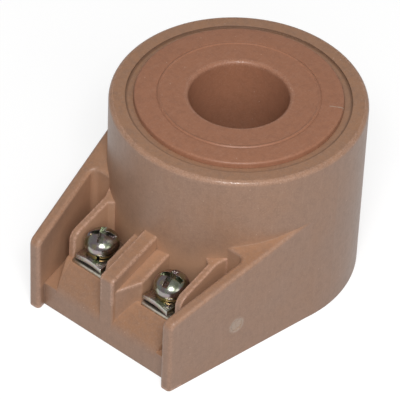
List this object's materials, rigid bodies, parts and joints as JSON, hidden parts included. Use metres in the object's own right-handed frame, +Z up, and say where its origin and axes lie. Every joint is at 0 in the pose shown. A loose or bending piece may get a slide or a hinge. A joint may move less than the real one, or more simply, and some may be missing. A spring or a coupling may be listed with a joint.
{
  "type": "solenoid valve coil",
  "caption": "Moulded solenoid valve coil with a central bore, round body and a side terminal block with screw clamps between ribbed walls.",
  "frame": {"origin": "centre of the bore, in the flat bottom face that the coil stands on", "axes": "+Z up along the bore axis, -Y out over the terminal block, +X across the two terminals"},
  "size_m": [0.05, 0.0646, 0.0393],
  "materials": {
    "brown_moulding": "satin",
    "bobbin_moulding": "satin",
    "winding_wire": "enamelled",
    "insulating_tape": "satin",
    "sleeving": "matte",
    "plated_brass": "plated",
    "solder": "satin",
    "zinc_steel": "bright zinc plated"
  },
  "bodies": {
    "root": {"housing": "brown_moulding", "bobbin": "bobbin_moulding", "winding": "winding_wire", "winding_tape": "insulating_tape", "lead_start": "winding_wire", "lead_finish": "winding_wire", "lead_sleeve_start": "sleeving", "lead_sleeve_finish": "sleeving", "terminal_plate_left": "plated_brass", "terminal_plate_right": "plated_brass", "captive_nut_left": "zinc_steel", "captive_nut_right": "zinc_steel", "solder_joint_left": "solder", "solder_joint_right": "solder", "saddle_clamp_left": "zinc_steel", "saddle_clamp_right": "zinc_steel", "spring_washer_left": "zinc_steel", "spring_washer_right": "zinc_steel", "terminal_screw_left": "zinc_steel", "terminal_screw_right": "zinc_steel"}
  },
  "joints": []
}
